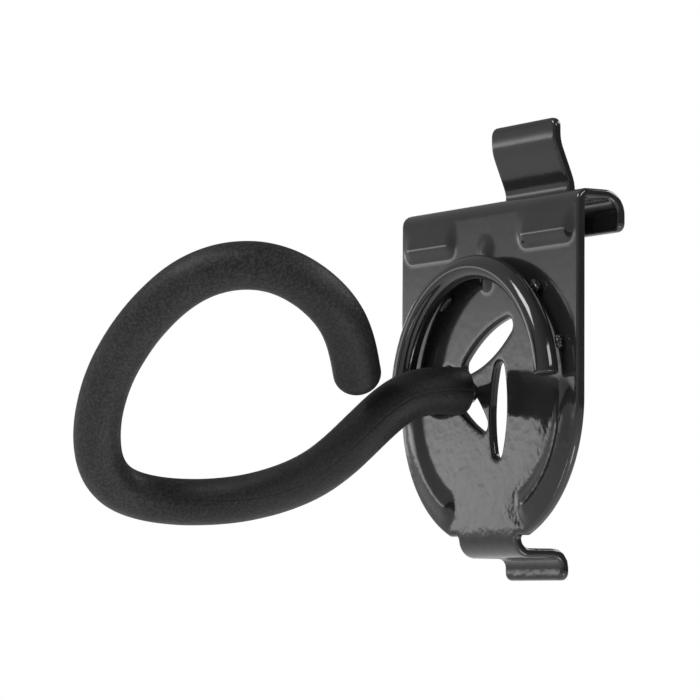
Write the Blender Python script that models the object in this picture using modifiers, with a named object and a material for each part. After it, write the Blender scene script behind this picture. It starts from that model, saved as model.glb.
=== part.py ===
"""Hair dryer holder that hooks on a wall rail.

A folded and embossed steel back plate carries a bent steel rod: half a ring welded
flat on the plate, a leg to the ring's centre, and an arm that leaves the plate there
and turns into one open loop. A foam sleeve covers the arm and the loop, and a cap
closes its tip.

Lengths are in millimetres until MM turns them into metres. +Z is up, the plate faces
-Y and the wall is on the +Y side. The origin is the middle of the rail seat, the flat
underside of the plate's top ledge.
"""
import bpy
import bmesh
import numpy as np
from math import acos, atan2, ceil, cos, degrees, hypot, pi, radians, sin, sqrt
from mathutils import Vector
from mathutils.geometry import delaunay_2d_cdt

MM = 0.001
GAP = 0.3                    # clearance between neighbouring solids

# Back plate, one sheet. Heights on it are measured from the ring's centre.
SHEET = 3.2                  # steel with its coating
PLATE_HALF = 53.0
SEAT_HEIGHT = 62.6           # rail seat above the ring's centre
SEAT_SETBACK = 7.7           # middle of the seat behind the plate's front face
TOP_BEND = 4.0               # bend radii are those of the front face
BEND = 3.0                   # inside radius of every other bend
FLANGE_BEND = 8.0
FLANGE_GAP = 12.9            # room for the rail between plate and flange
FLANGE_BOTTOM = 52.2
TAB_HALF = 19.0
TAB_TOP = 93.9
TAB_BACK = 20.4              # front face of the tab's root behind the plate's front
TAB_LEAN = 23.0              # degrees, forward
TAB_RUN = 13.0               # leaning stretch
RELIEF = 2.5                 # slit between the tab and each flange
RELIEF_ROOT = 4.5            # ledge left whole in front of the slits
STRIP_HALF = 17.0
LEDGE_BOTTOM = -54.2
FOOT_FRONT = 19.1
FOOT_BOTTOM = -61.6
SHOULDER = -46.8             # where the round lower edge meets the strip
SIDE_ARC = 48.0              # radius of each lower side edge
SIDE_ARC_X = 5.0
SIDE_ARC_Z = -2.0

# Embossing, raised towards the front
RIM_HEIGHT, RIM_OUT, RIM_IN = 1.5, 9.0, 5.5
RIM_FROM, RIM_TO = -10.0, -62.0         # degrees along the lower side edge
RIM_FADE = (20.0, 8.0)                  # degrees it takes to fade out at each end
PAD_HEIGHT, PAD_WALL = 1.5, 5.2
PAD_X, PAD_Z = (23.0, 46.3), (53.2, 60.5)
RIB_HEIGHT, RIB_HALF = 1.2, 5.2
RIB_Z = (40.0, 49.0)

# Slots: centre x, centre z, direction in degrees
SLOTS = ((0.4, 16.9, 27.5), (7.2, -4.9, 87.7), (-12.6, -0.5, -40.0))
SLOT_HALF, SLOT_HALF_WIDTH, SLOT_END = 16.2, 4.5, 2.6

# Rod
ROD = 4.0                    # radius
ROD_STANDOFF = 5.5           # ring's centreline in front of the plate
RING = 43.4
RING_FROM, RING_TO = 6.9, 168.0         # degrees, from 3 o'clock over the top
LEG_CORNER = (-44.3, -3.2)
LEG_BEND, ROOT_BEND = 8.0, 5.0
ROD_IN_CAP = 5.0

# The arm and loop, from the ring's centre on the plate's front face
ROUTE = ((0, -11.4, 1.5), (-2.5, -28.5, -0.6), (-10.5, -40.5, -11.7), (-25, -48, -24),
         (-44.5, -55, -31.5), (-64, -65, -35), (-76.5, -80, -35), (-79.5, -97, -30.5),
         (-72, -109, -18.5), (-61.5, -113.5, -3.5), (-45.5, -114.5, 12.5),
         (-29.5, -110.5, 26.5), (-13, -101.5, 37), (1.5, -85.5, 38.5),
         (7.5, -62.5, 23), (0, -51.7, 8.2))
ROUTE_STEP = 7.5

# Foam sleeve and its cap
FOAM, FOAM_BORE = 7.9, 4.6   # radii
FOAM_START = 9.8             # the sleeve's open end in front of the plate
CAP_STRAIGHT, CAP_DOME = 3.0, 6.8
SOCKET, SOCKET_DEPTH = 4.5, 5.4

# Weld beads: side of the ring (+1 outer, -1 inner), middle and half length in degrees
WELDS = {"upper": (1, 48.6, 2.5), "end": (1, 19.6, 2.5), "inner": (-1, 124.0, 5.2)}
WELD, WELD_OFFSET, WELD_STANDOFF = 1.2, 3.85, 1.55

SPACING = 4.6                # mesh size on the plate
ARC_STEP = 18.0              # degrees a facet on bends and outlines


def new_material(name, colour, roughness, metallic=0.0):
    material = bpy.data.materials.new(name)
    material.use_nodes = True
    shader = material.node_tree.nodes["Principled BSDF"]
    shader.inputs["Base Color"].default_value = (*colour, 1.0)
    shader.inputs["Roughness"].default_value = roughness
    shader.inputs["Metallic"].default_value = metallic
    return material


def add_object(name, data, material, location=(0, 0, 0)):
    obj = bpy.data.objects.new(name, data)
    data.materials.append(material)
    obj.location = Vector(location) * MM
    holder.objects.link(obj)
    return obj


def arc(centre, radius, start, end, step=ARC_STEP):
    """Points of a circular arc in the plane, angles in degrees."""
    count = max(2, ceil(abs(end - start) / step) + 1)
    angles = (radians(start + (end - start) * i / (count - 1)) for i in range(count))
    return [(centre[0] + radius * cos(a), centre[1] + radius * sin(a)) for a in angles]


# ---- back plate -------------------------------------------------------------------

def folds():
    """The sheet's side profiles as (length, turn) runs of its front face, going up
    from the ring's centre for the flange and the tab, and down for the foot."""
    def bend(radius, turn):
        return (radius * radians(abs(turn)), turn)

    top = SEAT_HEIGHT + SHEET
    rise = [(top - TOP_BEND, 0), bend(TOP_BEND, -90)]
    flange_back = 2 * SHEET + FLANGE_GAP
    flange = rise + [(flange_back - TOP_BEND - FLANGE_BEND, 0), bend(FLANGE_BEND, -90),
                     (top - FLANGE_BEND - FLANGE_BOTTOM, 0)]
    lean_height = (BEND + 2 * TOP_BEND) * sin(radians(TAB_LEAN)) \
        + TAB_RUN * cos(radians(TAB_LEAN))
    tab_ends = TAB_TOP - top - BEND - lean_height
    tab = rise + [(TAB_BACK - TOP_BEND - BEND, 0), bend(BEND, 90), (0.25 * tab_ends, 0),
                  bend(BEND, TAB_LEAN), (TAB_RUN, 0), bend(2 * TOP_BEND, -TAB_LEAN),
                  (0.75 * tab_ends, 0)]
    outer = BEND + SHEET
    foot = [(-LEDGE_BOTTOM - outer, 0), bend(outer, -90), (FOOT_FRONT - outer - BEND, 0),
            bend(BEND, 90), (LEDGE_BOTTOM - BEND - FOOT_BOTTOM, 0)]
    return flange, tab, foot


FLANGE_FOLD, TAB_FOLD, FOOT_FOLD = folds()


def fold_point(fold, run, depth):
    """(y, z) at a run along the fold and a depth into the sheet."""
    y = z = 0.0
    heading = pi / 2
    for length, turn in fold:
        step = min(run, length)
        if turn:
            radius = length / radians(turn)
            turned = heading + step / radius
            y += radius * (sin(turned) - sin(heading))
            z -= radius * (cos(turned) - cos(heading))
            heading = turned
        else:
            y += step * cos(heading)
            z += step * sin(heading)
        run -= step
        if run <= 0:
            break
    return y + depth * sin(heading), z - depth * cos(heading)


def sheet_point(x, v, depth):
    """Where the blank's point (x, v) is on the finished plate, in the row's frame."""
    if v < 0:
        y, z = fold_point(FOOT_FOLD, -v, depth)
        z = -z
    elif abs(x) < TAB_HALF + RELIEF / 2:
        y, z = fold_point(TAB_FOLD, v, depth)
    else:
        y, z = fold_point(FLANGE_FOLD, v, depth)
    return x, y - emboss(x, v) - SEAT_SETBACK, z - SEAT_HEIGHT


def bump(distance, half):
    """A rounded ridge's height, 1 at its middle and 0 from half onwards."""
    return cos(pi / 2 * distance / half) ** 2 if distance < half else 0.0


def emboss(x, v):
    """How far the front stands out at (x, v)."""
    # the rim rises gently from the lower side edge, drops steeply inside, and fades out
    along = Vector((abs(x) - SIDE_ARC_X, v - SIDE_ARC_Z))
    angle = degrees(atan2(along.y, along.x))
    across = along.length - (SIDE_ARC - RIM_OUT)
    across /= RIM_OUT if across > 0 else RIM_IN
    beyond = max(angle - RIM_FROM, 0) / RIM_FADE[0] + max(RIM_TO - angle, 0) / RIM_FADE[1]
    rim = RIM_HEIGHT * bump(hypot(across, beyond), 1)
    # the pads are wedges, steep at the bottom and sides and flush at the top
    out = hypot(max(PAD_X[0] - abs(x), abs(x) - PAD_X[1], 0), max(PAD_Z[0] - v, 0))
    fade = min(max((PAD_Z[1] - v) / (PAD_Z[1] - PAD_Z[0]), 0), 1)
    pad = PAD_HEIGHT * bump(out, PAD_WALL) * fade
    # the rib under the top of the ring
    out = hypot(x, max(RIB_Z[0] - v, v - RIB_Z[1], 0))
    rib = RIB_HEIGHT * bump(out, RIB_HALF)
    return max(rim, pad, rib)


def fold_length(fold):
    return sum(length for length, turn in fold)


def plate_outline():
    """The blank's outline, counter-clockwise."""
    corner = 3.0
    foot, flange, tab = -fold_length(FOOT_FOLD), fold_length(FLANGE_FOLD), fold_length(TAB_FOLD)
    arc_centre = (SIDE_ARC_X, SIDE_ARC_Z)
    arc_end = degrees(atan2(SHOULDER - SIDE_ARC_Z, sqrt(SIDE_ARC ** 2 - (SHOULDER - SIDE_ARC_Z) ** 2)))
    slit = RELIEF / 2
    slit_x = TAB_HALF + slit
    slit_root = SEAT_HEIGHT + SHEET - TOP_BEND + TOP_BEND * pi / 2 + RELIEF_ROOT + slit
    half = arc((STRIP_HALF - corner, foot + corner), corner, -90, 0, 30)
    half += arc((STRIP_HALF + 1, SHOULDER - 1), 1, 180, 90, 45)
    half += arc(arc_centre, SIDE_ARC, arc_end, 0, 5)
    half += arc((PLATE_HALF - corner, flange - corner), corner, 0, 90, 30)
    half += [(slit_x + slit, flange)]
    half += arc((slit_x, slit_root), slit, 0, -180, 45)
    half += arc((TAB_HALF - corner, tab - corner), corner, 0, 90, 30)
    return half + [(-x, v) for x, v in reversed(half)]


def slot_outline(x, z, direction):
    """A lens with rounded tips: two shallow arcs joined by two end arcs."""
    reach, rise = SLOT_HALF - SLOT_END, SLOT_HALF_WIDTH - SLOT_END
    drop = (reach ** 2 - rise ** 2) / (2 * rise)
    flank = SLOT_HALF_WIDTH + drop
    spread = 90 - degrees(acos(reach / (flank - SLOT_END)))
    lens = arc((0, -drop), flank, 90 - spread, 90 + spread, 5)[:-1]
    lens += arc((-reach, 0), SLOT_END, 90 + spread, 270 - spread, 30)[:-1]
    lens += arc((0, drop), flank, 270 - spread, 270 + spread, 5)[:-1]
    lens += arc((reach, 0), SLOT_END, spread - 90, 90 - spread, 30)[:-1]
    c, s = cos(radians(direction)), sin(radians(direction))
    return [(x + c * a - s * b, z + s * a + c * b) for a, b in lens]


def row_levels():
    """Levels of the mesh rows on the blank: close together in the bends."""
    levels = set()
    for fold, side in ((FLANGE_FOLD, 1), (TAB_FOLD, 1), (FOOT_FOLD, -1)):
        start = 0.0
        for length, turn in fold:
            parts = ceil(abs(turn) / ARC_STEP) if turn else ceil(length / SPACING)
            levels.update(round(side * (start + length * i / parts), 3) for i in range(parts + 1))
            start += length
    kept = []
    for level in sorted(levels):
        if not kept or level - kept[-1] > 0.6:
            kept.append(level)
    return kept


def subdivide(loop, levels):
    """The loop with points added where it crosses a row and on its long edges."""
    points = []
    for (x0, v0), (x1, v1) in zip(loop, loop[1:] + loop[:1]):
        length = hypot(x1 - x0, v1 - v0)
        cuts = {i / ceil(length / SPACING) for i in range(ceil(length / SPACING))} \
            if abs(v1 - v0) < 0.01 else {0.0}
        if abs(v1 - v0) > 0.01:
            cuts |= {(level - v0) / (v1 - v0) for level in levels}
        last = None
        for t in sorted(cuts):
            clear = 0 <= t and (1 - t) * length > 0.5 and (last is None or (t - last) * length > 0.5)
            if t == 0 or clear:
                points.append((x0 + (x1 - x0) * t, v0 + (v1 - v0) * t))
                last = t
    return points


def inside(x, v, loop):
    hit = False
    for (x0, v0), (x1, v1) in zip(loop, loop[1:] + loop[:1]):
        if (v0 > v) != (v1 > v) and x < x0 + (v - v0) * (x1 - x0) / (v1 - v0):
            hit = not hit
    return hit


def clearance(x, v, loop):
    """Distance from a point to the nearest edge of a loop."""
    start = np.array(loop)
    edge = np.roll(start, -1, axis=0) - start
    offset = np.array((x, v)) - start
    t = np.clip((offset * edge).sum(1) / (edge * edge).sum(1), 0, 1)
    return np.hypot(*(offset - edge * t[:, None]).T).min()


def triangulate(loops, rows):
    """Points and triangles of the blank, a grid on the rows that respects the loops."""
    points = [point for loop in loops for point in loop]
    edges = []
    first = 0
    for loop in loops:
        edges += [(first + i, first + (i + 1) % len(loop)) for i in range(len(loop))]
        first += len(loop)
    columns = round(2 * PLATE_HALF / SPACING)
    for v in rows:
        for i in range(1, columns):
            x = -PLATE_HALF + i * 2 * PLATE_HALF / columns
            if inside(x, v, loops[0]) and not any(inside(x, v, hole) for hole in loops[1:]):
                if min(clearance(x, v, loop) for loop in loops) > 0.3 * SPACING:
                    points.append((x, v))
    found, _, faces = delaunay_2d_cdt([Vector(p) for p in points], edges, [], 0, 1e-5)[:3]
    kept = []
    for face in faces:
        x, v = (sum(found[i][axis] for i in face) / 3 for axis in (0, 1))
        if inside(x, v, loops[0]) and not any(inside(x, v, hole) for hole in loops[1:]):
            kept.append(face)
    return found, kept


def back_plate(material):
    rows = row_levels()
    loops = [subdivide(plate_outline(), rows)]
    loops += [slot_outline(*slot) for slot in SLOTS]
    points, faces = triangulate(loops, rows)
    used = sorted({i for face in faces for i in face})
    work = bmesh.new()
    sheets = []
    for depth in (0.0, SHEET):
        sheets.append({i: work.verts.new(Vector(sheet_point(*points[i], depth)) * MM)
                       for i in used})
    front, back = sheets
    sides = {}
    for a, b, c in faces:
        work.faces.new((front[a], front[b], front[c]))
        work.faces.new((back[c], back[b], back[a]))
        for edge in ((a, b), (b, c), (c, a)):
            if edge[::-1] in sides:
                del sides[edge[::-1]]
            else:
                sides[edge] = True
    for a, b in sides:
        work.faces.new((front[b], front[a], back[a], back[b]))
    bmesh.ops.recalc_face_normals(work, faces=work.faces)
    mesh = bpy.data.meshes.new("back_plate")
    work.to_mesh(mesh)
    work.free()
    mesh.shade_smooth()
    mesh.set_sharp_from_angle(angle=radians(40))
    return add_object("back_plate", mesh, material)


# ---- rod, foam and welds ------------------------------------------------------------

RING_CENTRE = (0, -SEAT_SETBACK, -SEAT_HEIGHT)


def smooth_route(points, step):
    """A natural cubic through the points, starting straight out of the plate."""
    points = np.array(points, dtype=float)
    reach = np.hypot(*np.diff(points, axis=0).T[:2])
    reach = np.sqrt(reach ** 2 + np.diff(points[:, 2]) ** 2)
    place = np.concatenate(([0], np.cumsum(reach)))
    count = len(points)
    matrix = np.zeros((count, count))
    right = np.zeros((count, 3))
    matrix[0, :2] = 2 * reach[0], reach[0]
    right[0] = 6 * ((points[1] - points[0]) / reach[0] - np.array((0, -1, 0)))
    matrix[-1, -1] = 1
    for i in range(1, count - 1):
        matrix[i, i - 1:i + 2] = reach[i - 1], 2 * (reach[i - 1] + reach[i]), reach[i]
        right[i] = 6 * ((points[i + 1] - points[i]) / reach[i]
                        - (points[i] - points[i - 1]) / reach[i - 1])
    bend = np.linalg.solve(matrix, right)
    samples = []
    for s in np.linspace(0, place[-1], ceil(place[-1] / step) + 1):
        i = min(int(np.searchsorted(place, s, side="right")) - 1, count - 2)
        a, b = (place[i + 1] - s) / reach[i], (s - place[i]) / reach[i]
        samples.append(a * points[i] + b * points[i + 1] + reach[i] ** 2 / 6
                       * ((a ** 3 - a) * bend[i] + (b ** 3 - b) * bend[i + 1]))
    return [Vector(sample) for sample in samples]


def rounded_corner(before, corner, after, radius, step=ARC_STEP):
    """Points of the arc that rounds a corner between two straight stretches."""
    incoming = (corner - before).normalized()
    outgoing = (after - corner).normalized()
    turn = incoming.angle(outgoing)
    start = corner - incoming * radius * np.tan(turn / 2)
    inward = (outgoing - incoming * incoming.dot(outgoing)).normalized()
    count = ceil(degrees(turn) / step)
    angles = [turn * i / count for i in range(count + 1)]
    return [start + incoming * radius * sin(a) + inward * radius * (1 - cos(a)) for a in angles]


def ring_point(angle, radius=RING, standoff=ROD_STANDOFF):
    return Vector((radius * cos(radians(angle)), -standoff, radius * sin(radians(angle))))


def rod_route(loop):
    """The whole rod: ring, leg, arm, loop, and the end that the cap covers."""
    count = ceil((RING_TO - RING_FROM) / 7.5)
    ring = [ring_point(RING_FROM + (RING_TO - RING_FROM) * i / count) for i in range(count + 1)]
    corner = Vector((LEG_CORNER[0], -ROD_STANDOFF, LEG_CORNER[1]))
    root = Vector((0, -ROD_STANDOFF, loop[0].z))
    leg = rounded_corner(ring[-1], corner, root, LEG_BEND)
    arm = rounded_corner(corner, root, loop[0], ROOT_BEND)
    tip = loop[-1] + (loop[-1] - loop[-2]).normalized() * ROD_IN_CAP
    return ring + leg + arm + loop + [tip]


def tube_curve(name, points, radius, resolution, caps):
    """A poly spline with a round section through the points."""
    curve = bpy.data.curves.new(name, "CURVE")
    curve.dimensions = "3D"
    curve.bevel_depth = radius * MM
    curve.bevel_resolution = resolution
    curve.use_fill_caps = caps
    spline = curve.splines.new("POLY")
    spline.points.add(len(points) - 1)
    for target, point in zip(spline.points, points):
        target.co = (*(Vector(point) * MM), 1)
    spline.use_smooth = True
    return curve


def foam_sleeve(loop, material):
    start = Vector((0, -FOAM_START, loop[0].z))
    curve = tube_curve("foam_sleeve", [start] + loop, FOAM, 6, False)
    sleeve = add_object("foam_sleeve", curve, material, RING_CENTRE)
    wall = sleeve.modifiers.new("wall", "SOLIDIFY")
    wall.thickness = (FOAM - FOAM_BORE) * MM
    wall.offset = -1
    return sleeve


def tip_cap(loop, material):
    """A domed cap with a blind socket for the rod's end, turned about its own Z."""
    dome = arc((0, 0), 1, 90, 0, 15)
    height = CAP_STRAIGHT + CAP_DOME
    profile = [(FOAM * c, CAP_STRAIGHT + CAP_DOME * s) for c, s in dome]
    profile[0] = (0, height)
    profile += [(FOAM, GAP), (SOCKET, GAP), (SOCKET, SOCKET_DEPTH), (0, SOCKET_DEPTH)]
    mesh = bpy.data.meshes.new("tip_cap")
    mesh.from_pydata([(r * MM, 0, z * MM) for r, z in profile],
                     [(i, i + 1) for i in range(len(profile) - 1)], [])
    outward = (loop[-1] - loop[-2]).normalized()
    cap = add_object("tip_cap", mesh, material, Vector(RING_CENTRE) + loop[-1])
    cap.rotation_euler = outward.to_track_quat("Z", "Y").to_euler()
    turn = cap.modifiers.new("turn", "SCREW")
    turn.steps = turn.render_steps = 20
    turn.use_merge_vertices = True
    turn.merge_threshold = 0.00001
    return cap


def weld_bead(name, side, middle, half, material):
    """A short bead in the groove between the ring and the plate."""
    radius = RING + side * WELD_OFFSET
    points = [ring_point(middle + half * t, radius, WELD_STANDOFF) for t in (-1, -0.5, 0, 0.5, 1)]
    curve = tube_curve(name, points, WELD, 2, True)
    return add_object(name, curve, material, RING_CENTRE)


for old in list(bpy.data.objects):
    bpy.data.objects.remove(old, do_unlink=True)
holder = bpy.data.collections.new("hair_dryer_holder")
bpy.context.scene.collection.children.link(holder)

coating = new_material("black_coating", (0.022, 0.022, 0.023), 0.2)
foam = new_material("black_foam", (0.03, 0.03, 0.03), 0.85)
cap_foam = new_material("cap_foam", (0.032, 0.032, 0.032), 0.8)
weld_coating = new_material("coated_weld", (0.024, 0.024, 0.025), 0.28)

loop_route = smooth_route(ROUTE, ROUTE_STEP)
back_plate(coating)
add_object("rod", tube_curve("rod", rod_route(loop_route), ROD, 4, True), coating, RING_CENTRE)
foam_sleeve(loop_route, foam)
tip_cap(loop_route, cap_foam)
for place, (side, middle, half) in WELDS.items():
    weld_bead("weld_bead_" + place, side, middle, half, weld_coating)
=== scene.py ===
"""The looks of a hair dryer holder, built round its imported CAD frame.

The back plate is one embossed and folded sheet with rounded, powder-coated edges. A bent
round bar is fixed to it by three weld beads. The bar's arm and loop wear a moulded foam
sleeve with a seam and a domed end cap.

Lengths are in millimetres until MM turns them into metres. Shapes are drawn from the
ring's centre on the plate's front face, which ORIGIN puts in the frame's own axes:
+Z up, the plate faces -Y, and the wall is on the +Y side.
"""
from math import acos, atan2, ceil, cos, degrees, exp, hypot, pi, radians, sin, sqrt, tan

import bmesh
import bpy
import numpy as np
from mathutils import Matrix, Vector, noise
from mathutils.geometry import delaunay_2d_cdt

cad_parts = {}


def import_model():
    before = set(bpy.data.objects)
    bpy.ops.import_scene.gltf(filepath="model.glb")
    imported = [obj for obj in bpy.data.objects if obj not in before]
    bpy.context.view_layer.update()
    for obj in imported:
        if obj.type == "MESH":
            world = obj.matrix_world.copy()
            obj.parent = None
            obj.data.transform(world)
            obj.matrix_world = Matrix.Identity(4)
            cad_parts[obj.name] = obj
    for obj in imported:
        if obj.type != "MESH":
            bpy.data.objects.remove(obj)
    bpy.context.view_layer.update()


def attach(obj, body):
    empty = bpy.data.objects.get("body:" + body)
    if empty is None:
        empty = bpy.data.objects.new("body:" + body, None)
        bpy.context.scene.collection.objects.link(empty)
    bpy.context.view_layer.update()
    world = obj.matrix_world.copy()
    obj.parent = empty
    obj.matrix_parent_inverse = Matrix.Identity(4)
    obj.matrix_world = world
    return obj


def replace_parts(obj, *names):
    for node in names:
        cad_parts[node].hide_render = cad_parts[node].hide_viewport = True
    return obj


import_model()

MM = 0.001

# Back plate, as in the CAD model
SHEET = 3.2
PLATE_HALF = 53.0
SEAT_HEIGHT = 62.6
SEAT_SETBACK = 7.7
TOP_BEND = 4.0
BEND = 3.0
FLANGE_BEND = 8.0
FLANGE_GAP = 12.9
FLANGE_BOTTOM = 52.2
TAB_HALF = 19.0
TAB_TOP = 93.9
TAB_BACK = 20.4
TAB_LEAN = 23.0              # degrees, forward
TAB_RUN = 13.0               # length of its leaning stretch
TAB_LOW_SHARE = 0.25         # of its upright stretches, the part below the lean
RELIEF = 2.5                 # slit between the tab and each flange
RELIEF_ROOT = 4.5
STRIP_HALF = 17.0
LEDGE_BOTTOM = -54.2
FOOT_FRONT = 19.1
FOOT_BOTTOM = -61.6
SHOULDER = -46.8
SIDE_ARC = 48.0              # the round lower right edge, its radius and centre
SIDE_ARC_X = 5.0
SIDE_ARC_Z = -2.0
CORNER = 3.0                 # radius of the sheet's corners
FILLET = 1.5                 # radius where the strip leaves the round lower edge

# Embossing, raised towards the front
RIM_HEIGHT, RIM_OUT, RIM_IN = 1.5, 9.0, 5.5
RIM_FROM, RIM_TO = -10.0, -62.0         # degrees along the lower side edge
RIM_FADE = (20.0, 8.0)                  # degrees it takes to fade out at each end
PAD_HEIGHT, PAD_WALL = 1.5, 5.2
PAD_X, PAD_Z = (23.0, 46.3), (53.2, 60.5)
RIB_HEIGHT, RIB_HALF = 1.2, 5.2
RIB_Z = (40.0, 49.0)

# Slots: centre x, centre z, direction in degrees
SLOTS = ((0.4, 16.9, 27.5), (7.2, -4.9, 87.7), (-12.6, -0.5, -40.0))
SLOT_HALF, SLOT_HALF_WIDTH, SLOT_END = 16.2, 4.5, 2.6

# Rod, as in the CAD model
ROD = 4.0                    # radius
ROD_STANDOFF = 5.5           # ring's centreline in front of the plate
RING = 43.4
RING_FROM, RING_TO = 6.9, 168.0         # degrees, from 3 o'clock over the top
LEG_CORNER = (-44.3, -3.2)
LEG_BEND, ROOT_BEND = 8.0, 5.0
ROD_IN_CAP = 5.0

# The middle line of the arm and the loop, from the crossbar to the cap
ROUTE = ((0, -11.4, 1.5), (-2.5, -28.5, -0.6), (-10.5, -40.5, -11.7), (-25, -48, -24),
         (-44.5, -55, -31.5), (-64, -65, -35), (-76.5, -80, -35), (-79.5, -97, -30.5),
         (-72, -109, -18.5), (-61.5, -113.5, -3.5), (-45.5, -114.5, 12.5),
         (-29.5, -110.5, 26.5), (-13, -101.5, 37), (1.5, -85.5, 38.5),
         (7.5, -62.5, 23), (0, -51.7, 8.2))
FOAM_START = 9.8             # the sleeve's open end in front of the plate

# Weld beads: side of the ring (+1 outer, -1 inner), middle and half length in degrees
WELDS = {"upper": (1, 48.6, 2.5), "end": (1, 19.6, 2.5), "inner": (-1, 124.0, 5.2)}

# The plate's finer shape, which only the looks have
SPACING = 1.3                # mesh size
GRID_GAP = 0.55              # of the mesh size, between the grid and the edges
ARC_STEP, CORNER_STEP = 1.5, 15         # degrees between points on long arcs, corners,
SLIT_STEP, TIP_STEP = 20, 12            # the slits' roots and the slots' tips
EDGE = 1.15                  # rounding of the coated edges
EDGE_STEPS = 4
FOLD_EASE = 0.26             # the sheet gives this much before the lower fold
FOLD_EASE_Z, FOLD_EASE_RUN = -44.4, 6.4
TAB_EASE = 3.2               # the tab's bends run this far into its flat stretches
TAB_EASE_STEPS = 6
TAB_ROOT_RUNS = 4            # the rise, its bend, the ledge, and the bend that leaves it

# Angles that round off an edge of the rod, the sleeve or the cap
QUARTER_TURN = np.linspace(0, pi / 2, 5)

# The rod's cut ends and welds
ROD_SIDES = 40
ROD_EDGE = 0.6               # rounding of the cut ends
ROD_END_GAP = 0.1            # between that rounding and the path's next point
RING_STEPS = 80
WELD, WELD_OFFSET, WELD_STANDOFF = 1.3, 3.8, 1.5
WELD_STEPS, WELD_SIDES = 60, 28
WELD_TAPER = 3.5             # the higher, the blunter its ends
WELD_RUNOUT = 0.4            # degrees more at each end, where it fades out
WELD_RIPPLE, WELD_WAVER = 0.07, 0.1     # in shares of its thickness
WELD_TIP = 0.05              # what is left of its thickness at its ends

# The foam's skin and seam
FOAM, FOAM_BORE = 7.95, 4.35
FOAM_EDGE = 0.5
FOAM_STEP = 1.1
FOAM_SIDES = 84              # besides the finer ones next to the seam
BORE_STEP = 6                # the bore has one ring for this many of the skin
FOAM_WAVER, WAVER_SCALE = 0.07, 0.09    # unevenness of the skin
SEAM_DEPTH, SEAM_WIDTH = 0.12, 0.22
SEAM_LIP, LIP_FADE = 0.1, 1.5           # one lip stands this much above the other
SEAM_START, SEAM_TURN = 268, 76         # degrees round the sleeve
SEAM_TURN_FROM, SEAM_TURN_RUN = 38, 140     # millimetres along the sleeve
SEAM_MESH = (0.0, 0.1, 0.2, 0.3, 0.42, 0.6, 0.85, 1.2, 1.7)     # distances from the seam

# The end cap
JOIN, JOIN_EDGE = 0.03, 0.06            # gap and edge rounding where it meets the sleeve
SOCKET, SOCKET_DEPTH = 4.45, 5.3
CAP_STRAIGHT, CAP_DOME = 3.0, 6.8
CAP_BULGE = 0.92             # under 1, the dome is fuller than a round one
CAP_SIDES, CAP_STEPS = 72, 22
CAP_POLE = 0.06              # radians from the dome's last ring to its pole

ORIGIN = Vector((0, -SEAT_SETBACK, -SEAT_HEIGHT))

# Camera and surroundings, metres
CAMERA = Vector((0.98223, -0.67389, -0.13388))
CAMERA_AIM = Vector((-0.08658, -0.0077, -0.04181))
CAMERA_ROLL = 0.352          # degrees
CAMERA_LENS = 181.65
CAMERA_SENSOR = 36           # millimetres, as the lens is
FLOOR_Z, FLOOR_RADIUS = -0.60, 8
LIT = Vector((-0.02, -0.05, -0.07))     # what the softboxes point at

# Softboxes: name, (azimuth from -Y towards +X, elevation), distance, size, power
LIGHTS = (("key", (-8, 43), 1.2, (0.55, 0.38), 8.5),
          ("right", (105, 28), 1.3, (0.55, 0.34), 5.3),
          ("low_right", (105, -38), 0.75, (0.3, 0.2), 1.4),
          ("back", (165, 38), 1.3, (0.9, 0.45), 9.0),
          ("left", (-104, 3), 1.3, (0.12, 0.5), 0.6),
          ("low_left", (-17, -19), 1.0, (0.14, 0.2), 0.5))

# The room is brightest towards its centre, and dimmest ROOM_SPREAD degrees from there.
ROOM_CENTRE, ROOM_SPREAD, ROOM_TONES = (-30, 15), 125, (0.06, 0.46)

# A band of wall adds this brightness at these elevations. It is full up to 14 degrees
# sideways from its own centre, and gone at 28.
BAND = ((-4.5, 0.25), (-1.6, 0.3), (-0.4, 1.4), (0.4, 2.3), (2.6, 2.35), (3.8, 1.5),
        (4.8, 0.95), (5.8, 0.35), (7.0, 0.1), (9.0, 0.0))
BAND_CENTRE, BAND_FADE = (-58, 0), (28, 14)


def new_object(name, mesh, material):
    """A finished piece in the row frame, riding on the holder's one body."""
    obj = bpy.data.objects.new(name, mesh)
    bpy.context.scene.collection.objects.link(obj)
    mesh.materials.append(material)
    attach(obj, "root")
    return obj


def mesh_from_rings(name, rings, joined=False):
    """A skin over rings of equally many points. Its two ends are closed, or else its last
    ring is joined to its first."""
    count = len(rings[0])
    vertices = [(Vector(point) + ORIGIN) * MM for ring in rings for point in ring]
    faces = []
    for i in range(len(rings) if joined else len(rings) - 1):
        here, there = i * count, (i + 1) % len(rings) * count
        for j in range(count):
            k = (j + 1) % count
            faces.append((here + j, here + k, there + k, there + j))
    if not joined:
        faces.append(tuple(reversed(range(count))))
        faces.append(tuple(range((len(rings) - 1) * count, len(rings) * count)))
    mesh = bpy.data.meshes.new(name)
    mesh.from_pydata(vertices, [], faces)
    tidy_normals(mesh)
    return mesh


def tidy_normals(mesh, sharp=50):
    """Faces turned outwards and shaded smooth, up to an angle in degrees."""
    work = bmesh.new()
    work.from_mesh(mesh)
    bmesh.ops.recalc_face_normals(work, faces=work.faces)
    work.to_mesh(mesh)
    work.free()
    mesh.shade_smooth()
    mesh.set_sharp_from_angle(angle=radians(sharp))


def arc(centre, radius, start, end, step):
    """Points of a circular arc in the plane, angles in degrees."""
    count = max(2, ceil(abs(end - start) / step) + 1)
    angles = (radians(start + (end - start) * i / (count - 1)) for i in range(count))
    return [(centre[0] + radius * cos(a), centre[1] + radius * sin(a)) for a in angles]


# ---- back plate -------------------------------------------------------------------

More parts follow.
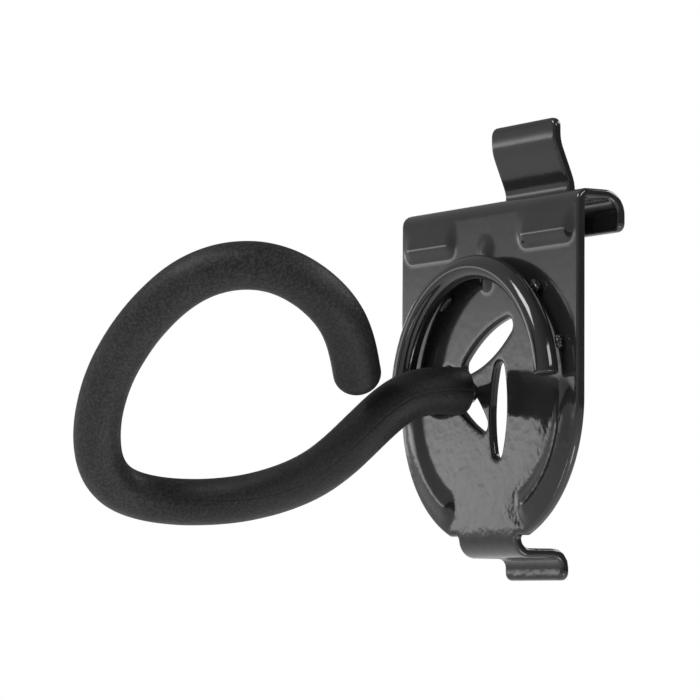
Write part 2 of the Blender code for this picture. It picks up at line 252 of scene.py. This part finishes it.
def folds():
    """The sheet's side profiles as (length, turn) runs of its front face, going up
    from the ring's centre for the flange and the tab, and down for the foot."""
    def bend(radius, turn):
        return (radius * radians(abs(turn)), turn)

    top = SEAT_HEIGHT + SHEET
    rise = [(top - TOP_BEND, 0), bend(TOP_BEND, -90)]
    flange_back = 2 * SHEET + FLANGE_GAP
    flange = rise + [(flange_back - TOP_BEND - FLANGE_BEND, 0), bend(FLANGE_BEND, -90),
                     (top - FLANGE_BEND - FLANGE_BOTTOM, 0)]
    lean_height = (BEND + 2 * TOP_BEND) * sin(radians(TAB_LEAN)) \
        + TAB_RUN * cos(radians(TAB_LEAN))
    tab_ends = TAB_TOP - top - BEND - lean_height
    tab = rise + [(TAB_BACK - TOP_BEND - BEND, 0), bend(BEND, 90),
                  (TAB_LOW_SHARE * tab_ends, 0), bend(BEND, TAB_LEAN), (TAB_RUN, 0),
                  bend(2 * TOP_BEND, -TAB_LEAN), ((1 - TAB_LOW_SHARE) * tab_ends, 0)]
    outer = BEND + SHEET
    foot = [(-LEDGE_BOTTOM - outer, 0), bend(outer, -90), (FOOT_FRONT - outer - BEND, 0),
            bend(BEND, 90), (LEDGE_BOTTOM - BEND - FOOT_BOTTOM, 0)]
    return flange, tab, foot


FLANGE_FOLD, TAB_FOLD, FOOT_FOLD = folds()


def fold_length(fold):
    return sum(length for length, turn in fold)


def fold_point(fold, run, depth):
    """(y, z) at a run along the fold and a depth into the sheet."""
    y = z = 0.0
    heading = pi / 2
    for length, turn in fold:
        step = min(run, length)
        if turn:
            radius = length / radians(turn)
            turned = heading + step / radius
            y += radius * (sin(turned) - sin(heading))
            z -= radius * (cos(turned) - cos(heading))
            heading = turned
        else:
            y += step * cos(heading)
            z += step * sin(heading)
        run -= step
        if run <= 0:
            break
    return y + depth * sin(heading), z - depth * cos(heading)


def tab_point(run, depth):
    """(y, z) on the tab, which leaves the top ledge in one bend and then eases over."""
    root = fold_length(TAB_FOLD[:TAB_ROOT_RUNS])
    reach = max(min(TAB_EASE, 0.5 * (run - root), fold_length(TAB_FOLD) - run), 0)
    steps = range(-TAB_EASE_STEPS, TAB_EASE_STEPS + 1) if reach else [0]
    shares = [step / TAB_EASE_STEPS for step in steps]
    places = [fold_point(TAB_FOLD, run + reach * share, depth) for share in shares]
    return [sum(values) / len(places) for values in zip(*places)]


def sheet_point(x, v, depth):
    """Where the blank's point (x, v) is on the folded plate."""
    if v < 0:
        y, z = fold_point(FOOT_FOLD, -v, depth)
        z = -z
    elif abs(x) < TAB_HALF + RELIEF / 2:
        y, z = tab_point(v, depth)
    else:
        y, z = fold_point(FLANGE_FOLD, v, depth)
    return Vector((x, y - emboss(x, v), z))


def eased(t):
    """A smooth rise from 0 to 1 as t does."""
    t = min(max(t, 0), 1)
    return t * t * (3 - 2 * t)


def bump(distance, half):
    """A rounded ridge's height, 1 at its middle and 0 from half onwards."""
    return cos(pi / 2 * distance / half) ** 2 if distance < half else 0.0


def emboss(x, v):
    """How far the front stands out at (x, v)."""
    along = Vector((abs(x) - SIDE_ARC_X, v - SIDE_ARC_Z))
    angle = degrees(atan2(along.y, along.x))
    across = along.length - (SIDE_ARC - RIM_OUT)
    across /= RIM_OUT if across > 0 else RIM_IN
    beyond = max(angle - RIM_FROM, 0) / RIM_FADE[0] + max(RIM_TO - angle, 0) / RIM_FADE[1]
    rim = RIM_HEIGHT * bump(hypot(across, beyond), 1)
    out = hypot(max(PAD_X[0] - abs(x), abs(x) - PAD_X[1], 0), max(PAD_Z[0] - v, 0))
    fade = min(max((PAD_Z[1] - v) / (PAD_Z[1] - PAD_Z[0]), 0), 1)
    pad = PAD_HEIGHT * bump(out, PAD_WALL) * fade
    out = hypot(x, max(RIB_Z[0] - v, v - RIB_Z[1], 0))
    rib = RIB_HEIGHT * bump(out, RIB_HALF)
    return max(rim, pad, rib) - FOLD_EASE * eased((FOLD_EASE_Z - v) / FOLD_EASE_RUN)


def plate_outline():
    """The blank's outline, counter-clockwise."""
    foot = -fold_length(FOOT_FOLD)
    flange = fold_length(FLANGE_FOLD)
    tab = fold_length(TAB_FOLD)
    arc_centre = (SIDE_ARC_X, SIDE_ARC_Z)
    drop = SHOULDER - SIDE_ARC_Z
    arc_end = degrees(atan2(drop, sqrt(SIDE_ARC ** 2 - drop ** 2)))
    slit = RELIEF / 2
    slit_x = TAB_HALF + slit
    slit_root = SEAT_HEIGHT + SHEET - TOP_BEND + TOP_BEND * pi / 2 + RELIEF_ROOT + slit
    half = arc((STRIP_HALF - CORNER, foot + CORNER), CORNER, -90, 0, CORNER_STEP)
    half += arc((STRIP_HALF + FILLET, SHOULDER - FILLET), FILLET, 180, 90, CORNER_STEP)
    half += arc(arc_centre, SIDE_ARC, arc_end, 0, ARC_STEP)
    half += arc((PLATE_HALF - CORNER, flange - CORNER), CORNER, 0, 90, CORNER_STEP)
    half += [(slit_x + slit, flange)]
    half += arc((slit_x, slit_root), slit, 0, -180, SLIT_STEP)
    half += arc((TAB_HALF - CORNER, tab - CORNER), CORNER, 0, 90, CORNER_STEP)
    return half + [(-x, v) for x, v in reversed(half)]


def slot_outline(x, z, direction):
    """A lens with rounded tips, clockwise, so that the sheet is on its left."""
    reach, rise = SLOT_HALF - SLOT_END, SLOT_HALF_WIDTH - SLOT_END
    drop = (reach ** 2 - rise ** 2) / (2 * rise)
    flank = SLOT_HALF_WIDTH + drop
    spread = 90 - degrees(acos(reach / (flank - SLOT_END)))
    lens = arc((0, -drop), flank, 90 - spread, 90 + spread, ARC_STEP)[:-1]
    lens += arc((-reach, 0), SLOT_END, 90 + spread, 270 - spread, TIP_STEP)[:-1]
    lens += arc((0, drop), flank, 270 - spread, 270 + spread, ARC_STEP)[:-1]
    lens += arc((reach, 0), SLOT_END, spread - 90, 90 - spread, TIP_STEP)[:-1]
    c, s = cos(radians(direction)), sin(radians(direction))
    return [(x + c * a - s * b, z + s * a + c * b) for a, b in reversed(lens)]


def dense(loop):
    """The loop with its long edges cut to the mesh size."""
    points = []
    for (x0, v0), (x1, v1) in zip(loop, loop[1:] + loop[:1]):
        parts = ceil(hypot(x1 - x0, v1 - v0) / SPACING)
        points += [(x0 + (x1 - x0) * i / parts, v0 + (v1 - v0) * i / parts) for i in range(parts)]
    return np.array(points)


def inset(loop, distance):
    """The loop moved to its left, into the sheet."""
    ahead = np.roll(loop, -1, axis=0) - loop
    ahead /= np.hypot(*ahead.T)[:, None]
    normal = np.stack((-ahead[:, 1], ahead[:, 0]), 1)
    before = np.roll(normal, 1, axis=0)
    share = 1 + (normal * before).sum(1, keepdims=True)
    return loop + distance * (normal + before) / share


def inside(points, loop):
    """Which points lie in the loop, by counting the edges to their right."""
    x, v = points[:, :1], points[:, 1:]
    x0, v0 = loop.T
    x1, v1 = np.roll(loop, -1, axis=0).T
    crosses = (v0 > v) != (v1 > v)
    slope = (x1 - x0) / np.where(v1 == v0, 1, v1 - v0)
    return (crosses & (x < x0 + (v - v0) * slope)).sum(1) % 2 == 1


def clearance(points, loop):
    """Each point's distance from the nearest edge of the loop."""
    edge = np.roll(loop, -1, axis=0) - loop
    offset = points[:, None] - loop
    t = np.clip((offset * edge).sum(2) / (edge * edge).sum(1), 0, 1)
    return np.sqrt(((offset - edge * t[..., None]) ** 2).sum(2)).min(1)


def on_sheet(points, outline, slots):
    """Which points lie in the outline and in none of the slots."""
    kept = inside(points, outline)
    for slot in slots:
        kept &= ~inside(points, slot)
    return kept


def blank_mesh(outline, slots):
    """Points and triangles of the flat blank inside its loops."""
    low, high = outline.min(0), outline.max(0)
    across = np.linspace(low[0], high[0], ceil((high[0] - low[0]) / SPACING) + 1)
    along = np.linspace(low[1], high[1], ceil((high[1] - low[1]) / SPACING) + 1)
    grid = np.array([(x, v) for v in along for x in across])
    grid = grid[on_sheet(grid, outline, slots)]
    for loop in (outline, *slots):
        grid = grid[clearance(grid, loop) > GRID_GAP * SPACING]
    points = [Vector(p) for loop in (outline, *slots) for p in loop] + [Vector(p) for p in grid]
    edges = []
    first = 0
    for loop in (outline, *slots):
        edges += [(first + i, first + (i + 1) % len(loop)) for i in range(len(loop))]
        first += len(loop)
    found, _, faces = delaunay_2d_cdt(points, edges, [], 0, 1e-6)[:3]
    found = np.array(found)
    faces = np.array(faces)
    return found, faces[on_sheet(found[faces].mean(1), outline, slots)]


def edge_profile():
    """(inset, depth) steps round the sheet's edge, from its front face to its back."""
    front = [(EDGE * (1 - sin(radians(a))), EDGE * (1 - cos(radians(a))))
             for a in np.linspace(0, 90, EDGE_STEPS + 1)]
    return front + [(d, SHEET - depth) for d, depth in reversed(front)]


def back_plate(material):
    """Front and back faces from the same flat mesh, with rounded edges between them."""
    loops = [dense(plate_outline())] + [dense(slot_outline(*slot)) for slot in SLOTS]
    rims = [inset(loop, EDGE) for loop in loops]
    points, faces = blank_mesh(rims[0], rims[1:])
    work = bmesh.new()

    def vertex(x, v, depth):
        return work.verts.new((sheet_point(x, v, depth) + ORIGIN) * MM)

    front = [vertex(x, v, 0) for x, v in points]
    back = [vertex(x, v, SHEET) for x, v in points]
    for a, b, c in faces:
        work.faces.new((front[a], front[b], front[c]))
        work.faces.new((back[c], back[b], back[a]))
    first = 0
    for loop in loops:
        count = len(loop)
        rows = [front[first:first + count]]
        for distance, depth in edge_profile()[1:-1]:
            rows.append([vertex(x, v, depth) for x, v in inset(loop, distance)])
        rows.append(back[first:first + count])
        for upper, lower in zip(rows, rows[1:]):
            for i in range(count):
                j = (i + 1) % count
                work.faces.new((upper[j], upper[i], lower[i], lower[j]))
        first += count
    mesh = bpy.data.meshes.new("plate")
    work.to_mesh(mesh)
    work.free()
    tidy_normals(mesh, sharp=80)
    obj = new_object("plate", mesh, material)
    weighted = obj.modifiers.new("even_shading", "WEIGHTED_NORMAL")
    weighted.keep_sharp = True
    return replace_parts(obj, "back_plate")


# ---- rod, foam and welds ------------------------------------------------------------

def smooth_route(points, step):
    """A natural cubic through the points, starting straight out of the plate."""
    points = np.array(points, dtype=float)
    reach = np.sqrt((np.diff(points, axis=0) ** 2).sum(1))
    place = np.concatenate(([0], np.cumsum(reach)))
    count = len(points)
    matrix = np.zeros((count, count))
    right = np.zeros((count, 3))
    matrix[0, :2] = 2 * reach[0], reach[0]
    right[0] = 6 * ((points[1] - points[0]) / reach[0] - np.array((0, -1, 0)))
    matrix[-1, -1] = 1
    for i in range(1, count - 1):
        matrix[i, i - 1:i + 2] = reach[i - 1], 2 * (reach[i - 1] + reach[i]), reach[i]
        right[i] = 6 * ((points[i + 1] - points[i]) / reach[i]
                        - (points[i] - points[i - 1]) / reach[i - 1])
    bend = np.linalg.solve(matrix, right)
    samples = []
    for s in np.linspace(0, place[-1], ceil(place[-1] / step) + 1):
        i = min(int(np.searchsorted(place, s, side="right")) - 1, count - 2)
        a, b = (place[i + 1] - s) / reach[i], (s - place[i]) / reach[i]
        samples.append(a * points[i] + b * points[i + 1] + reach[i] ** 2 / 6
                       * ((a ** 3 - a) * bend[i] + (b ** 3 - b) * bend[i + 1]))
    return [Vector(sample) for sample in samples]


def rounded_corner(before, corner, after, radius, step=6.0):
    """Points of the arc that rounds a corner between two straight stretches."""
    incoming = (corner - before).normalized()
    outgoing = (after - corner).normalized()
    turn = incoming.angle(outgoing)
    start = corner - incoming * radius * tan(turn / 2)
    inward = (outgoing - incoming * incoming.dot(outgoing)).normalized()
    count = ceil(degrees(turn) / step)
    angles = [turn * i / count for i in range(count + 1)]
    return [start + incoming * radius * sin(a) + inward * radius * (1 - cos(a)) for a in angles]


def ring_point(angle, radius=RING, standoff=ROD_STANDOFF):
    """A place on the ring, at an angle from 3 o'clock over the top."""
    return Vector((radius * cos(radians(angle)), -standoff, radius * sin(radians(angle))))


def rod_route(loop):
    """The whole rod: ring, leg, arm, loop, and the end that the cap covers."""
    ring = [ring_point(a) for a in np.linspace(RING_FROM, RING_TO, RING_STEPS)]
    corner = Vector((LEG_CORNER[0], -ROD_STANDOFF, LEG_CORNER[1]))
    root = Vector((0, -ROD_STANDOFF, loop[0].z))
    leg = rounded_corner(ring[-1], corner, root, LEG_BEND)
    arm = rounded_corner(corner, root, loop[0], ROOT_BEND)
    tip = loop[-1] + (loop[-1] - loop[-2]).normalized() * ROD_IN_CAP
    return ring + leg + arm + loop + [tip]


def path_axes(points, across):
    """Tangents and two cross axes at each point, carried along with no twist."""
    points = np.array(points, dtype=float)
    along = np.gradient(points, axis=0)
    along /= np.linalg.norm(along, axis=1)[:, None]
    normal = np.array(across, dtype=float)
    normals = []
    for tangent in along:
        normal = normal - tangent * (normal @ tangent)
        normal /= np.linalg.norm(normal)
        normals.append(normal)
    normals = np.array(normals)
    return points, along, normals, np.cross(along, normals)


def tube_rings(points, radii, sides, across=(0, 0, 1)):
    """Circles of the given radii round a path."""
    centres, _, normals, sideways = path_axes(points, across)
    angles = np.linspace(0, 2 * pi, sides, endpoint=False)
    return [c + r * (np.outer(np.cos(angles), n) + np.outer(np.sin(angles), s))
            for c, r, n, s in zip(centres, radii, normals, sideways)]


def rounded_ends(points, radius, edge):
    """The path with extra points at its ends and the radii that round them off."""
    start, end = points[0], points[-1]
    ahead = (points[1] - start).normalized()
    behind = (points[-2] - end).normalized()
    shifts = [edge * (1 - cos(a)) for a in QUARTER_TURN]
    shrinks = [radius - edge * (1 - sin(a)) for a in QUARTER_TURN]
    clear = edge + ROD_END_GAP
    middle = [p for p in points[1:-1] if min((p - start).length, (p - end).length) > clear]
    path = [start + ahead * d for d in shifts] + middle
    path += [end + behind * d for d in reversed(shifts)]
    return path, shrinks + [radius] * len(middle) + list(reversed(shrinks))


def rod(loop, material):
    """The bent bar, from the ring's cut end to the tip inside the cap."""
    path, radii = rounded_ends(rod_route(loop), ROD, ROD_EDGE)
    mesh = mesh_from_rings("bent_rod", tube_rings(path, radii, ROD_SIDES, (1, 0, 0)))
    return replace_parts(new_object("bent_rod", mesh, material), "rod")


def seam_angle(run):
    """Where the seam is round the sleeve, in degrees: it creeps round to the inside of
    the loop's first bend and stays there."""
    return SEAM_START + SEAM_TURN * eased((run - SEAM_TURN_FROM) / SEAM_TURN_RUN)


def seam_relief(offset):
    """The skin's rise and fall across the seam, for a distance from it."""
    groove = -SEAM_DEPTH * exp(-(offset / SEAM_WIDTH) ** 2)
    lip = SEAM_LIP * exp(-offset / LIP_FADE) if offset > 0 else 0.0
    return groove + lip


def foam_angles():
    """Angles round the sleeve from its seam, close together next to the seam."""
    near = [distance / FOAM for distance in SEAM_MESH]
    rest = list(np.linspace(near[-1], 2 * pi - near[-1], FOAM_SIDES))
    return near[:-1] + rest + [2 * pi - a for a in reversed(near[1:-1])]


def foam_sleeve(loop, material):
    """The foam tube, open at the plate, with its bore and its seam."""
    loop = [Vector((0, -FOAM_START, loop[0].z))] + loop
    centres, along, normals, sideways = path_axes(loop, (0, 0, 1))
    runs = np.concatenate(([0], np.cumsum(np.linalg.norm(np.diff(centres, axis=0), axis=1))))
    angles = foam_angles()

    def ring(i, radius, shift=0.0, relief=1.0):
        turned = [a + radians(seam_angle(runs[i])) for a in angles]
        points = []
        for a, t in zip(angles, turned):
            outward = cos(t) * normals[i] + sin(t) * sideways[i]
            offset = (a if a < pi else a - 2 * pi) * FOAM
            waver = FOAM_WAVER * noise.noise(Vector(centres[i] + outward * FOAM) * WAVER_SCALE)
            reach = radius + relief * (seam_relief(offset) + waver)
            points.append(centres[i] + along[i] * shift + outward * reach)
        return points

    last = len(loop) - 1
    rings = [ring(0, FOAM - FOAM_EDGE * (1 - sin(a)), FOAM_EDGE * (1 - cos(a)), sin(a))
             for a in QUARTER_TURN]
    rings += [ring(i, FOAM) for i in range(1, last)]
    rings += [ring(last, FOAM - JOIN_EDGE * (1 - sin(a)), -JOIN_EDGE * (1 - cos(a)), sin(a))
              for a in reversed(QUARTER_TURN)]
    inner = list(range(last, -1, -BORE_STEP))
    if inner[-1] != 0:
        inner.append(0)
    rings += [ring(i, FOAM_BORE, 0.0, 0.0) for i in inner]
    obj = new_object("sleeve", mesh_from_rings("sleeve", rings, True), material)
    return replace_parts(obj, "foam_sleeve")


def tip_cap(loop, material):
    """A turned dome over the rod's end, with a socket for it."""
    outward = (loop[-1] - loop[-2]).normalized()
    edge = JOIN_EDGE
    profile = [(SOCKET, SOCKET_DEPTH), (SOCKET, JOIN)]
    profile += [(FOAM - edge + edge * sin(a), JOIN + edge - edge * cos(a))
                for a in QUARTER_TURN]
    profile += [(FOAM * cos(a) ** CAP_BULGE, CAP_STRAIGHT + CAP_DOME * sin(a))
                for a in np.linspace(0, pi / 2 - CAP_POLE, CAP_STEPS)]
    turn = outward.to_track_quat("Z", "Y").to_matrix()
    rings = []
    for r, z in profile:
        rings.append([loop[-1] + turn @ Vector((r * cos(a), r * sin(a), z))
                      for a in np.linspace(0, 2 * pi, CAP_SIDES, endpoint=False)])
    obj = new_object("end_cap", mesh_from_rings("end_cap", rings), material)
    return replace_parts(obj, "tip_cap")


def weld_bead(place, side, middle, half, material):
    """A rippled fillet in the groove between the ring and the plate."""
    radius = RING + side * WELD_OFFSET
    path, radii = [], []
    for i in range(WELD_STEPS + 1):
        t = 2 * i / WELD_STEPS - 1
        angle = middle + (half + WELD_RUNOUT) * t
        path.append(ring_point(angle, radius, WELD_STANDOFF))
        body = max(1 - abs(t) ** WELD_TAPER, 0.0) ** 0.5
        ripple = WELD_RIPPLE * cos(t * half * pi)
        waver = WELD_WAVER * noise.noise(Vector((middle, t * 3, 0)))
        radii.append(max(WELD * body * (1 + ripple + waver), WELD_TIP))
    name = "weld_" + place
    mesh = mesh_from_rings(name, tube_rings(path, radii, WELD_SIDES, (0, 1, 0)))
    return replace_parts(new_object(name, mesh, material), "weld_bead_" + place)


# ---- materials ----------------------------------------------------------------------

def new_material(name):
    """A material, its nodes and links, and its shader."""
    material = bpy.data.materials.new(name)
    material.use_nodes = True
    nodes = material.node_tree.nodes
    return material, nodes, material.node_tree.links, nodes["Principled BSDF"]


def noise_node(nodes, links, scale, detail=2.0, roughness=0.5):
    """Noise that stays with the piece, with its scale in features a metre."""
    place = nodes.new("ShaderNodeTexCoord")
    texture = nodes.new("ShaderNodeTexNoise")
    texture.inputs["Scale"].default_value = scale
    texture.inputs["Detail"].default_value = detail
    texture.inputs["Roughness"].default_value = roughness
    links.new(place.outputs["Object"], texture.inputs["Vector"])
    return texture


def ramp_node(nodes, links, factor, low, high, start=0.3, end=0.7):
    """A ramp from one grey or colour to another."""
    ramp = nodes.new("ShaderNodeValToRGB")
    for element, position, value in zip(ramp.color_ramp.elements, (start, end), (low, high)):
        element.position = position
        colour = value if isinstance(value, tuple) else (value,) * 3
        element.color = (*colour, 1)
    links.new(factor, ramp.inputs["Fac"])
    return ramp.outputs["Color"]


def bump_node(nodes, links, height, distance, normal=None):
    """Relief of a given depth in metres, on top of another relief if there is one."""
    node = nodes.new("ShaderNodeBump")
    node.inputs["Strength"].default_value = 1.0
    node.inputs["Distance"].default_value = distance
    links.new(height, node.inputs["Height"])
    if normal:
        links.new(normal, node.inputs["Normal"])
    return node.outputs["Normal"]


def maths(nodes, links, operation, first, second):
    """Two values or greys put together."""
    node = nodes.new("ShaderNodeMath")
    node.operation = operation
    links.new(first, node.inputs[0])
    links.new(second, node.inputs[1])
    return node.outputs["Value"]


def graded(nodes, links, axis, start, end, low, high):
    """A value that goes from low to high between two places along an axis, in metres."""
    place = nodes.new("ShaderNodeTexCoord")
    axes = nodes.new("ShaderNodeSeparateXYZ")
    links.new(place.outputs["Object"], axes.inputs["Vector"])
    span = nodes.new("ShaderNodeMapRange")
    limits = {"From Min": start, "From Max": end, "To Min": low, "To Max": high}
    for socket, value in limits.items():
        span.inputs[socket].default_value = value
    links.new(axes.outputs[axis], span.inputs["Value"])
    return span.outputs["Result"]


def coating_material(name, peel=1.0):
    """Gloss black powder coat with uneven gloss, fine pores, and orange peel that is
    coarser where the coat ran thicker, towards the bottom."""
    material, nodes, links, shader = new_material(name)
    shader.inputs["IOR"].default_value = 1.5
    black, grey = (0.012, 0.012, 0.0125), (0.017, 0.017, 0.0175)
    tone = noise_node(nodes, links, scale=60, detail=3)
    colour = ramp_node(nodes, links, tone.outputs["Fac"], black, grey)
    links.new(colour, shader.inputs["Base Color"])
    gloss = noise_node(nodes, links, scale=140, detail=4, roughness=0.6)
    roughness = ramp_node(nodes, links, gloss.outputs["Fac"], 0.085, 0.13)
    links.new(roughness, shader.inputs["Roughness"])
    waves = noise_node(nodes, links, scale=330, detail=1.2, roughness=0.4)
    thicker = graded(nodes, links, "Z", start=-0.03, end=-0.09, low=0.12, high=1.0)
    peel_height = maths(nodes, links, "MULTIPLY", waves.outputs["Fac"], thicker)
    relief = bump_node(nodes, links, peel_height, 0.00009 * peel)
    pores = noise_node(nodes, links, scale=1700, detail=2)
    relief = bump_node(nodes, links, pores.outputs["Fac"], 0.000002, relief)
    links.new(relief, shader.inputs["Normal"])
    return material


def foam_material(name, tone=1.0):
    """Closed-cell foam with a fine leathery skin, and painted shade: its colour is darker near
    the wall and paler away from it.
    """
    material, nodes, links, shader = new_material(name)
    shader.inputs["IOR"].default_value = 1.45
    shader.inputs["Specular IOR Level"].default_value = 0.3
    blotch = noise_node(nodes, links, scale=1100, detail=4, roughness=0.7)
    skin = ramp_node(nodes, links, blotch.outputs["Fac"], 0.002 * tone, 0.018 * tone,
                     start=0.4, end=0.66)
    # Painted shade and light: the skin colour is scaled from 0.45 near the wall plate up to 1.65
    # further out, in place of the plate's shade
    painted_wall_shade = graded(nodes, links, "Y", start=-0.045, end=-0.1, low=0.45, high=1.65)
    links.new(maths(nodes, links, "MULTIPLY", skin, painted_wall_shade), shader.inputs["Base Color"])
    wear = noise_node(nodes, links, scale=70, detail=3)
    roughness = ramp_node(nodes, links, wear.outputs["Fac"], 0.46, 0.58)
    links.new(roughness, shader.inputs["Roughness"])
    dents = noise_node(nodes, links, scale=480, detail=2)
    relief = bump_node(nodes, links, dents.outputs["Fac"], 0.00016)
    grain = noise_node(nodes, links, scale=1300, detail=3, roughness=0.6)
    relief = bump_node(nodes, links, grain.outputs["Fac"], 0.00018, relief)
    links.new(relief, shader.inputs["Normal"])
    return material


# ---- surroundings -------------------------------------------------------------------

def aim(obj, target, roll=0.0):
    """Points an object's -Z at a target, and rolls it about its own axis."""
    turn = (Vector(target) - obj.location).to_track_quat("-Z", "Y").to_matrix().to_4x4()
    obj.rotation_euler = (turn @ Matrix.Rotation(radians(roll), 4, "Z")).to_euler()


def camera():
    data = bpy.data.cameras.new("camera")
    data.sensor_fit = "HORIZONTAL"
    data.sensor_width = CAMERA_SENSOR
    data.lens = CAMERA_LENS
    data.clip_end = 50
    obj = bpy.data.objects.new("camera", data)
    obj.location = CAMERA
    aim(obj, CAMERA_AIM, CAMERA_ROLL)
    bpy.context.scene.collection.objects.link(obj)
    bpy.context.scene.camera = obj


def softbox(name, location, size, power):
    """A soft light that points at the holder, at a place counted from LIT."""
    data = bpy.data.lights.new(name, "AREA")
    data.shape = "RECTANGLE"
    data.size, data.size_y = size
    data.energy = power
    obj = bpy.data.objects.new(name, data)
    obj.location = LIT + location
    aim(obj, LIT)
    obj.visible_camera = False
    bpy.context.scene.collection.objects.link(obj)
    return obj


def seen_apart(nodes, links, lit, seen, surface):
    """Shows the camera one shader, and everything else another."""
    path = nodes.new("ShaderNodeLightPath")
    mix = nodes.new("ShaderNodeMixShader")
    links.new(path.outputs["Is Camera Ray"], mix.inputs["Fac"])
    links.new(lit, mix.inputs[1])
    links.new(seen, mix.inputs[2])
    links.new(mix.outputs["Shader"], surface)


def floor():
    """A pale floor that lights the holder from below, and is plain white to the camera."""
    mesh = bpy.data.meshes.new("floor")
    work = bmesh.new()
    bmesh.ops.create_circle(work, cap_ends=True, segments=128, radius=FLOOR_RADIUS)
    work.to_mesh(mesh)
    work.free()
    obj = bpy.data.objects.new("floor", mesh)
    obj.location = (0, 0, FLOOR_Z)
    bpy.context.scene.collection.objects.link(obj)
    material, nodes, links, shader = new_material("pale_floor")
    shader.inputs["Base Color"].default_value = (0.86, 0.86, 0.86, 1)
    shader.inputs["Roughness"].default_value = 0.7
    shader.inputs["Emission Color"].default_value = (1, 1, 1, 1)
    shader.inputs["Emission Strength"].default_value = 0.43
    white = nodes.new("ShaderNodeEmission")
    seen_apart(nodes, links, shader.outputs["BSDF"], white.outputs["Emission"],
               nodes["Material Output"].inputs["Surface"])
    mesh.materials.append(material)


def bearing(azimuth, elevation):
    """The direction at an azimuth from -Y towards +X and an elevation, in degrees."""
    a, e = radians(azimuth), radians(elevation)
    return Vector((sin(a) * cos(e), -cos(a) * cos(e), sin(e)))


def lobe(nodes, links, direction, centre, start, end, low, high):
    """A smooth rise from low, start degrees away from the centre, to high at end degrees."""
    dot = nodes.new("ShaderNodeVectorMath")
    dot.operation = "DOT_PRODUCT"
    dot.inputs[1].default_value = bearing(*centre)
    links.new(direction, dot.inputs[0])
    rise = nodes.new("ShaderNodeMapRange")
    rise.interpolation_type = "SMOOTHSTEP"
    limits = {"From Min": cos(radians(start)), "From Max": cos(radians(end)),
              "To Min": low, "To Max": high}
    for socket, value in limits.items():
        rise.inputs[socket].default_value = value
    links.new(dot.outputs["Value"], rise.inputs["Value"])
    return rise.outputs["Result"]


def world():
    """A white surround for the camera. All else sees a dim room with a pale band of wall."""
    surround = bpy.data.worlds.new("studio")
    surround.use_nodes = True
    bpy.context.scene.world = surround
    nodes, links = surround.node_tree.nodes, surround.node_tree.links
    direction = nodes.new("ShaderNodeTexCoord").outputs["Generated"]
    room = lobe(nodes, links, direction, ROOM_CENTRE, ROOM_SPREAD, 0, *ROOM_TONES)
    height = nodes.new("ShaderNodeSeparateXYZ")
    links.new(direction, height.inputs["Vector"])
    span = nodes.new("ShaderNodeMapRange")
    low, high = BAND[0][0], BAND[-1][0]
    span.inputs["From Min"].default_value = sin(radians(low))
    span.inputs["From Max"].default_value = sin(radians(high))
    links.new(height.outputs["Z"], span.inputs["Value"])
    ramp = nodes.new("ShaderNodeValToRGB")
    elements = ramp.color_ramp.elements
    for elevation, _ in BAND[1:-1]:
        elements.new((elevation - low) / (high - low))
    for element, (_, value) in zip(elements, BAND):
        element.color = (value, value, value, 1)
    links.new(span.outputs["Result"], ramp.inputs["Fac"])
    sideways = lobe(nodes, links, direction, BAND_CENTRE, *BAND_FADE, 0, 1)
    band = maths(nodes, links, "MULTIPLY", ramp.outputs["Color"], sideways)
    seen = nodes["Background"]
    seen.inputs["Color"].default_value = (1, 1, 1, 1)
    lit = nodes.new("ShaderNodeBackground")
    links.new(maths(nodes, links, "ADD", room, band), lit.inputs["Color"])
    seen_apart(nodes, links, lit.outputs["Background"], seen.outputs["Background"],
               nodes["World Output"].inputs["Surface"])


coat = coating_material("black_coating")
weld_coat = coating_material("weld_coating", peel=1.6)
foam = foam_material("black_foam")
cap_foam = foam_material("cap_foam", tone=1.1)

loop_route = smooth_route(ROUTE, FOAM_STEP)
back_plate(coat)
rod(loop_route, coat)
foam_sleeve(loop_route, foam)
tip_cap(loop_route, cap_foam)
for place, (side, middle, half) in WELDS.items():
    weld_bead(place, side, middle, half, weld_coat)

camera()
floor()
world()
for name, place, distance, size, power in LIGHTS:
    softbox(name, bearing(*place) * distance, size, power)
bpy.context.scene.view_settings.view_transform = "Standard"
